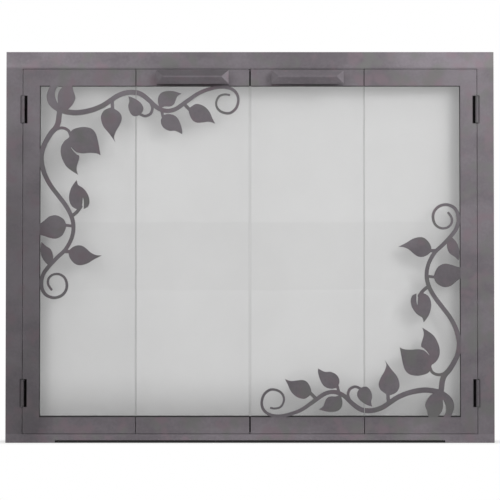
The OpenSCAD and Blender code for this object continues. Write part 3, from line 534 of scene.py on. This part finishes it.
def moulded_plastic(look):
    """Moulded housing: a spark-eroded texture and slightly paler, shinier worn places."""
    f = Finish("moulded_plastic")
    skin = f.noise(0.0007, 2.0, 0.6)
    wear_and_facet_light = f.noise(0.012, 3.0, 0.6, shift=(1.0, 6.0, 2.0))
    base = f.mixed(f.ranged(wear_and_facet_light, 0.5, 0.75, 0.0, 0.4), look.plastic, (0.05, 0.05, 0.052))
    rough = f.ranged(wear_and_facet_light, 0.3, 0.7, 0.56, 0.44)
    return f.done(f.shader(Base_Color=base, Roughness=rough, Normal=f.bump(skin, 0.00005)))


def woven_gasket(look):
    """Flat woven tape: two crossing rows of threads, raised where they cross, with loose fuzz."""
    f = Finish("woven_gasket")
    rows = [
        f.add(
            "ShaderNodeTexWave",
            {"Vector": f.spread(0.0016), "Scale": 1.0, "Distortion": 0.6, "Detail": 1.0},
            bands_direction=axis,
        ).outputs["Fac"]
        for axis in ("X", "Z")
    ]
    weave = f.product(*rows)
    fuzz = f.noise(0.0006, 2.0, 0.7)
    base = f.mixed(f.ranged(weave, 0.0, 1.0, 0.0, 0.8), look.gasket, (0.045, 0.043, 0.044))
    base = f.mixed(f.ranged(fuzz, 0.55, 0.8, 0.0, 0.3), base, (0.09, 0.088, 0.088))
    relief = f.bump(fuzz, 0.0001, f.bump(weave, 0.0003))
    return f.done(
        f.shader(Base_Color=base, Roughness=0.92, Normal=relief, Sheen_Weight=0.25, Sheen_Roughness=0.6)
    )


def tempered_glass(look):
    """Clear glass with the faint roller wave of tempering and ground free edges. Lamplight passes through."""
    f = Finish("tempered_glass")
    wave = f.noise(0.06, 1.0, 0.4, stretch=(3.0, 1.0, 1.0))
    haze = f.noise(0.05, 3.0, 0.6, shift=(4.0, 2.0, 7.0))
    across = f.size(f.along("X"))
    nearest = f.folded("MINIMUM", [f.size(f.difference(across, edge)) for edge in PANE_EDGES])
    ground = f.ranged(nearest, 0.0001, 0.0009, 1.0, 0.0)
    tint = f.mixed(f.ranged(haze, 0.35, 0.7), look.glass, tuple(0.99 * c for c in look.glass))
    tint = f.mixed(ground, tint, look.glass_edge)
    rough = f.total(f.ranged(haze, 0.3, 0.7, 0.0, 0.012), f.product(ground, 0.35))
    pane = f.shader(
        Base_Color=tint, Roughness=rough, IOR=1.5, Transmission_Weight=1.0, Normal=f.bump(wave, 0.00002)
    )
    # What a lamp's light meets instead of the pane
    clear = f.add("ShaderNodeBsdfTransparent", {"Color": grey(0.951)})
    shadow = f.add("ShaderNodeLightPath").outputs["Is Shadow Ray"]
    return f.done(f.blended(shadow, pane, clear))


# The record's material slots and the finish that each one gets
PEWTER = "pewter_coated_steel"
BLACK = "blackened_steel"
ZINC = "zinc_plated_steel"
NICKEL = "magnet"
PLASTIC = "catch_plastic"
GASKET = "gasket"
GLASS = "glass"
FINISHES = {
    PEWTER: pewter_steel,
    BLACK: black_paint,
    ZINC: zinc_plate,
    NICKEL: nickel_plate,
    PLASTIC: moulded_plastic,
    GASKET: woven_gasket,
    GLASS: tempered_glass,
}


@functools.cache
def finish(slot):
    """The finish of one material slot, made once."""
    return FINISHES[slot](bpy.context.scene.door_finish)


def coat(slot, nodes):
    """Gives every named CAD node one finish."""
    for node in nodes:
        materials = NODES[node].data.materials
        materials.clear()
        materials.append(finish(slot))


# ---------------------------------------------------------------- softened pieces


def mitre(side):
    """The plane of the mitre between the head and a jamb: a point on it and its normal."""
    way = WAYS[side]
    rise = DOOR_HEIGHT - HEAD_UNDERSIDE
    run = DOOR_WIDTH / 2 - JAMB_INNER_X
    return (way * JAMB_INNER_X, 0.0, HEAD_UNDERSIDE), (way * rise, 0.0, -run)


def butt(side):
    """The plane where the sill meets a jamb: a point on it and its normal."""
    way = WAYS[side]
    return (way * JAMB_INNER_X, 0.0, 0.0), (way, 0.0, 0.0)


def level(height):
    """A level plane: a point on it and its normal."""
    return (0.0, 0.0, height), (0.0, 0.0, 1.0)


def lies_on(points, plane):
    """Which of the points lie on the plane: their way from its point, measured along its normal, is nil."""
    origin, normal = (np.asarray(v, float) for v in plane)
    return np.abs((points - origin) @ (normal / np.linalg.norm(normal))) < ON_PLANE


def handle_facet_light(side):
    """Painted light on each face of a handle by the way it faces: a painted highlight on its right-hand end
    most and on its ridge a little; its upper face has painted shade on the left handle and a little painted
    light on the right one.
    """
    upper_tone, end_tone = (-0.24, 0.48) if side == "left" else (0.05, 0.40)
    ridge_tone = 0.14

    def wear_and_facet_light(normals):
        """The sum of the tones of the kinds of face that a face's normal makes it one of."""
        front = normals[:, 1] < -0.2
        return (
            end_tone * (front & (normals[:, 0] > 0.2))
            + ridge_tone * (normals[:, 1] < -0.99)
            + upper_tone * (front & (normals[:, 2] > 0.2))
        )

    return wear_and_facet_light


def softened(node, slot, width, left_sharp=(), wear_and_facet_light=None):
    """Puts a copy with rounded edges in a node's place. Edges on a plane in left_sharp stay as they are."""
    source = NODES[node]
    skin = bmesh.new()
    skin.from_mesh(source.data)
    bmesh.ops.remove_doubles(skin, verts=skin.verts, dist=MERGED)
    bmesh.ops.dissolve_limit(skin, angle_limit=FLAT, verts=skin.verts, edges=skin.edges)
    mesh = bpy.data.meshes.new(f"{node}_softened")
    skin.to_mesh(mesh)
    skin.free()
    mesh.polygons.foreach_set("use_smooth", np.ones(len(mesh.polygons), bool))
    mesh.set_sharp_from_angle(angle=SHARP)
    points = np.empty(len(mesh.vertices) * 3)
    mesh.vertices.foreach_get("co", points)
    ends = np.empty(len(mesh.edges) * 2, np.int32)
    mesh.edges.foreach_get("vertices", ends)
    rounded = np.empty(len(mesh.edges), bool)
    mesh.attributes["sharp_edge"].data.foreach_get("value", rounded)
    for plane in left_sharp:
        rounded &= ~lies_on(points.reshape(-1, 3), plane)[ends.reshape(-1, 2)].all(axis=1)
    weights = mesh.attributes.new("bevel_weight_edge", "FLOAT", "EDGE")
    weights.data.foreach_set("value", rounded.astype(np.float32))
    # The faces' painted light and shade, which the coat reads, when a function gives it
    if wear_and_facet_light is not None:
        normals = np.empty(len(mesh.polygons) * 3)
        mesh.polygons.foreach_get("normal", normals)
        facet_light = mesh.attributes.new(FACET_LIGHT, "FLOAT", "FACE")
        facet_light.data.foreach_set("value", wear_and_facet_light(normals.reshape(-1, 3)).astype(np.float32))
    piece = bpy.data.objects.new(f"{node}_softened", mesh)
    bpy.context.scene.collection.objects.link(piece)
    bevel = piece.modifiers.new("rounded_edges", "BEVEL")
    bevel.limit_method = "WEIGHT"
    bevel.width = width
    bevel.segments = 3
    shading = piece.modifiers.new("level_faces", "WEIGHTED_NORMAL")
    shading.keep_sharp = True
    mesh.materials.append(finish(slot))
    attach(piece, body_of(source)[0])
    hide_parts(node)


# ---------------------------------------------------------------- operators: the door


class DoorOperator:
    """What all the steps share."""

    bl_options = {"REGISTER", "UNDO"}


class FIREDOOR_OT_frame(DoorOperator, bpy.types.Operator):
    """Coats the head, the jambs and the sill"""

    bl_idname = "firedoor.frame"
    bl_label = "Frame"

    def execute(self, context):
        softened("frame_head", PEWTER, ROUND_SHEET, [*map(mitre, SIDES)])
        softened("frame_sill", PEWTER, ROUND_SHEET, [*map(butt, SIDES), *map(level, SLOT_EDGES)])
        for side in SIDES:
            softened(f"frame_jamb_{side}", PEWTER, ROUND_SHEET, [mitre(side)])
        return {"FINISHED"}


class FIREDOOR_OT_leaves(DoorOperator, bpy.types.Operator):
    """Coats the leaves' face sheets and the bars behind them"""

    bl_idname = "firedoor.leaves"
    bl_label = "Leaves"

    def execute(self, context):
        coat(PEWTER, on_sides("outer_leaf_face", "inner_leaf_face"))
        for bars in on_sides("outer_leaf_bars", "inner_leaf_bars"):
            softened(bars, PEWTER, ROUND_BAR)
        return {"FINISHED"}


class FIREDOOR_OT_vines(DoorOperator, bpy.types.Operator):
    """Coats the cut-metal vines"""

    bl_idname = "firedoor.vines"
    bl_label = "Vines"

    def execute(self, context):
        coat(PEWTER, on_sides("outer_vine", "inner_vine"))
        return {"FINISHED"}


class FIREDOOR_OT_glazing(DoorOperator, bpy.types.Operator):
    """Glazes the leaves: panes, gaskets, clips and their screws"""

    bl_idname = "firedoor.glazing"
    bl_label = "Glazing"

    def execute(self, context):
        coat(GLASS, on_sides("outer_glass", "inner_glass"))
        coat(GASKET, on_sides("outer_gasket", "inner_gasket"))
        coat(ZINC, on_sides("outer_clip_screws", "inner_clip_screws"))
        for clips in on_sides("outer_glass_clips", "inner_glass_clips"):
            softened(clips, ZINC, ROUND_CLIP)
        return {"FINISHED"}


class FIREDOOR_OT_hinges(DoorOperator, bpy.types.Operator):
    """Finishes the side hinges and the fold hinges"""

    bl_idname = "firedoor.hinges"
    bl_label = "Hinges"

    def execute(self, context):
        for half in on_sides("hinge_pin_halves", "hinge_sleeves"):
            softened(half, PEWTER, ROUND_SHEET)
        for half in on_sides("fold_hinge_outer", "fold_hinge_inner"):
            softened(half, BLACK, ROUND_CLIP)
        coat(ZINC, on_sides("fold_hinge_pins"))
        return {"FINISHED"}


class FIREDOOR_OT_handles(DoorOperator, bpy.types.Operator):
    """Coats the bar handles and plates their screws"""

    bl_idname = "firedoor.handles"
    bl_label = "Handles"

    def execute(self, context):
        for side in SIDES:
            softened(f"handle_{side}", PEWTER, ROUND_BAR, wear_and_facet_light=handle_facet_light(side))
        coat(ZINC, on_sides("handle_screws"))
        return {"FINISHED"}


class FIREDOOR_OT_fittings(DoorOperator, bpy.types.Operator):
    """Finishes the track, guide pins, catches, stops and brackets"""

    bl_idname = "firedoor.fittings"
    bl_label = "Track, catches and brackets"

    def execute(self, context):
        coat(ZINC, ["guide_track", "frame_screws", "bracket_bolts", *on_sides("guide_pin")])
        for plate in on_sides("strike_plate"):
            softened(plate, ZINC, ROUND_CLIP)
        for steel in ("lintel_brackets", "hearth_brackets", *on_sides("jamb_stops")):
            softened(steel, BLACK, ROUND_SHEET)
        softened("catch_housings", PLASTIC, ROUND_MOULDED)
        softened("catch_magnets", NICKEL, ROUND_CLIP)
        return {"FINISHED"}


# ---------------------------------------------------------------- the stage


def flat_sheet(name, rectangles, place, upright):
    """A flat stage piece of rectangles (x0, x1, v0, v1): a level floor, or an upright board, at its place."""
    rows = np.asarray(rectangles, float)
    x = rows[:, [0, 1, 1, 0]]
    v = rows[:, [2, 2, 3, 3]]
    fixed = np.full_like(x, place)
    corners = np.stack([x, fixed, v] if upright else [x, v, fixed], axis=-1).reshape(-1, 3)
    faces = np.arange(len(corners)).reshape(-1, 4)
    mesh = bpy.data.meshes.new(name)
    mesh.from_pydata(corners.tolist(), [], faces.tolist())
    sheet = bpy.data.objects.new(name, mesh)
    bpy.context.scene.collection.objects.link(sheet)
    return sheet


def floor_material():
    """A white floor that keeps the door's shadow: plain close to the door, white to the eye away from it."""
    f = Finish("studio_floor")
    path = f.add("ShaderNodeLightPath").outputs
    beyond = f.difference(f.size(f.along("X")), DOOR_WIDTH / 2)
    depth = f.size(f.difference(f.along("Y"), (FRONT_Y + BOARD_Y) / 2))
    away = f.total(f.maths("POWER", f.largest(beyond, 0.0), 2.0), f.maths("POWER", depth, 2.0))
    share = f.ranged(f.maths("SQRT", away), 0.0, FLOOR_FADE, 0.45, 1.0)
    # Painted shade: right under the door it is all but black
    under = f.product(f.below(beyond, 0.0), f.below(depth, (BOARD_Y - FRONT_Y) / 2))
    seen = f.largest(path["Is Camera Ray"], path["Is Transmission Ray"])
    share = f.product(share, f.difference(seen, f.product(under, 0.95)))
    paint = f.mixed(under, grey(0.86), grey(0.004))
    plain = f.add("ShaderNodeBsdfDiffuse", {"Color": paint})
    white = f.add("ShaderNodeEmission", {"Color": grey(1.0), "Strength": 1.0})
    return f.done(f.blended(share, plain, white))


def board_material():
    """A grey sheet close behind the leaves, seen from the front only. It takes shadows, glows faintly and has
    shade painted on it by the leaves' edges and behind the rails.
    """
    f = Finish("studio_board")
    path = f.add("ShaderNodeLightPath").outputs
    back = f.add("ShaderNodeNewGeometry").outputs["Backfacing"]
    unseen = f.largest(path["Is Diffuse Ray"], path["Is Shadow Ray"], back)
    tone = f.noise(0.35, 2.0, 0.5)
    paper = f.mixed(f.ranged(tone, 0.3, 0.7), grey(0.44), grey(0.465))
    x = f.along("X")
    z = f.along("Z")
    # Painted light and shade on the board, which dims its paint and its glow
    light = f.product(
        # painted shade, deeper towards the bottom rails
        f.ranged(z, OPENING_LOW, OPENING_LOW + 0.1, 0.76, 1.0),
        # painted shade behind the left outer leaf
        f.ranged(x, -SEAM_X - 0.006, -SEAM_X + 0.006, 0.965, 1.0),
        # painted shade along the stiles
        f.ranged(f.size(x), STILE_INNER_X - 0.025, STILE_INNER_X, 1.0, 0.84),
        # painted shade: none at all behind the rails
        f.between(z, OPENING_LOW - 0.0015, OPENING_TOP + 0.0045),
    )
    paint = f.add("ShaderNodeBsdfDiffuse", {"Color": f.mixed(1.0, paper, light, blend="MULTIPLY")})
    glow = f.add("ShaderNodeEmission", {"Color": grey(1.0), "Strength": f.product(light, BOARD_GLOW)})
    lit = f.add("ShaderNodeAddShader", {0: paint.outputs[0], 1: glow.outputs[0]})
    return f.done(f.blended(unseen, lit, f.add("ShaderNodeBsdfTransparent")))


def board_rectangles():
    """The board fills the frame's opening, and stops short of the hearth brackets and the lintel straps."""
    strap_low, strap_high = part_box("lintel_brackets")
    # Half the board's width between the brackets' feet, between their upright plates and between the straps
    foot_x = JAMB_INNER_X - 0.0355
    plate_x = JAMB_INNER_X - 0.0035
    strap_x = strap_high.x - 0.035
    # The heights at which it changes, and its top, which the frame's head hides
    foot_z = 0.006
    strap_z = strap_low.z - 0.0005
    top_z = HEAD_UNDERSIDE + 0.004
    return [
        (-foot_x, foot_x, FLOOR_Z, foot_z),
        (-plate_x, plate_x, foot_z, strap_z),
        (-strap_x, strap_x, strap_z, top_z),
    ]


def soft_lamp(name, place, aim, size, power):
    """A square soft lamp that faces a point."""
    light = bpy.data.lights.new(name, "AREA")
    light.shape = "SQUARE"
    light.size = size
    light.energy = power
    lamp = bpy.data.objects.new(name, light)
    lamp.location = place
    away = np.subtract(place, aim)
    lamp.rotation_euler = (
        math.atan2(math.hypot(away[0], away[1]), away[2]), 0.0, math.atan2(away[0], -away[1])
    )
    bpy.context.scene.collection.objects.link(lamp)


def white_world(fill):
    """A world that is white to the eye, in metal and through glass, and lights everything by the fill."""
    world = bpy.data.worlds.new("studio")
    world.use_nodes = True
    f = Nodes(world.node_tree)
    path = f.add("ShaderNodeLightPath").outputs
    seen = f.largest(*(path[f"Is {kind} Ray"] for kind in ("Camera", "Glossy", "Transmission")))
    strength = f.ranged(seen, 0.0, 1.0, fill, 1.0, smooth=False)
    # The way in which a ray leaves, whose height is the slope
    way = f.add("ShaderNodeTexCoord").outputs["Generated"]
    slope = f.add("ShaderNodeSeparateXYZ", {"Vector": way}).outputs["Z"]
    mirrored = f.product(f.below(slope, MIRRORED_SLOPE), path["Is Glossy Ray"])
    strength = f.total(f.product(mirrored, -MIRRORED_DEPTH), strength)
    sky = f.add("ShaderNodeBackground", {"Color": grey(1.0), "Strength": strength})
    f.add("ShaderNodeOutputWorld", {"Surface": sky.outputs[0]})
    bpy.context.scene.world = world


class FIREDOOR_OT_stage(DoorOperator, bpy.types.Operator):
    """Sets the floor, the board behind the glass, the lamps and the camera"""

    bl_idname = "firedoor.stage"
    bl_label = "Stage"

    def execute(self, context):
        scene = context.scene
        look = scene.door_stage
        floor = flat_sheet("floor", [(-FLOOR_REACH, FLOOR_REACH) * 2], FLOOR_Z, upright=False)
        floor.data.materials.append(floor_material())
        board = flat_sheet("board", board_rectangles(), BOARD_Y, upright=True)
        board.data.materials.append(board_material())
        white_world(look.fill)
        middle = (0.0, FRONT_Y, look.view_height)
        soft_lamp("key_lamp", look.key_place, middle, look.lamp_size, look.key_power)
        soft_lamp("second_lamp", look.second_place, middle, look.lamp_size, look.second_power)
        lens = bpy.data.cameras.new("camera")
        lens.sensor_width = 36.0
        lens.lens = lens.sensor_width * look.camera_distance / look.view_width
        lens.clip_end = 1.25 * FLOOR_REACH
        camera = bpy.data.objects.new("camera", lens)
        drop = look.camera_distance * math.tan(look.camera_rise)
        camera.location = (0.0, FRONT_Y - look.camera_distance, look.view_height - drop)
        camera.rotation_euler = (math.pi / 2 + look.camera_rise, 0.0, 0.0)
        scene.collection.objects.link(camera)
        scene.camera = camera
        scene.view_settings.view_transform = "Standard"
        return {"FINISHED"}


# ---------------------------------------------------------------- panel and registration


STEPS = ("frame", "leaves", "vines", "glazing", "hinges", "handles", "fittings", "stage")


class FIREDOOR_PT_panel(bpy.types.Panel):
    """Lists the door's pieces and the stage"""

    bl_label = "Fireplace glass door"
    bl_idname = "FIREDOOR_PT_panel"
    bl_space_type = "VIEW_3D"
    bl_region_type = "UI"
    bl_category = "Glass Door"

    def draw(self, context):
        """A button for each step, and below them the settings."""
        for step in STEPS:
            self.layout.operator(f"firedoor.{step}")
        for group in (context.scene.door_finish, context.scene.door_stage):
            for name in group.bl_rna.properties.keys():
                if name not in ("name", "rna_type"):
                    self.layout.prop(group, name)


CLASSES = (
    DoorFinishSettings,
    DoorStageSettings,
    FIREDOOR_OT_frame,
    FIREDOOR_OT_leaves,
    FIREDOOR_OT_vines,
    FIREDOOR_OT_glazing,
    FIREDOOR_OT_hinges,
    FIREDOOR_OT_handles,
    FIREDOOR_OT_fittings,
    FIREDOOR_OT_stage,
    FIREDOOR_PT_panel,
)


def register():
    """Registers the classes and puts the two groups of settings on the scene."""
    for cls in CLASSES:
        bpy.utils.register_class(cls)
    bpy.types.Scene.door_finish = PointerProperty(type=DoorFinishSettings)
    bpy.types.Scene.door_stage = PointerProperty(type=DoorStageSettings)


def unregister():
    """Undoes what register does."""
    del bpy.types.Scene.door_stage
    del bpy.types.Scene.door_finish
    for cls in reversed(CLASSES):
        bpy.utils.unregister_class(cls)


def main():
    """Makes the door, then the stage."""
    register()
    for step in STEPS:
        getattr(bpy.ops.firedoor, step)()


if __name__ == "__main__":
    main()
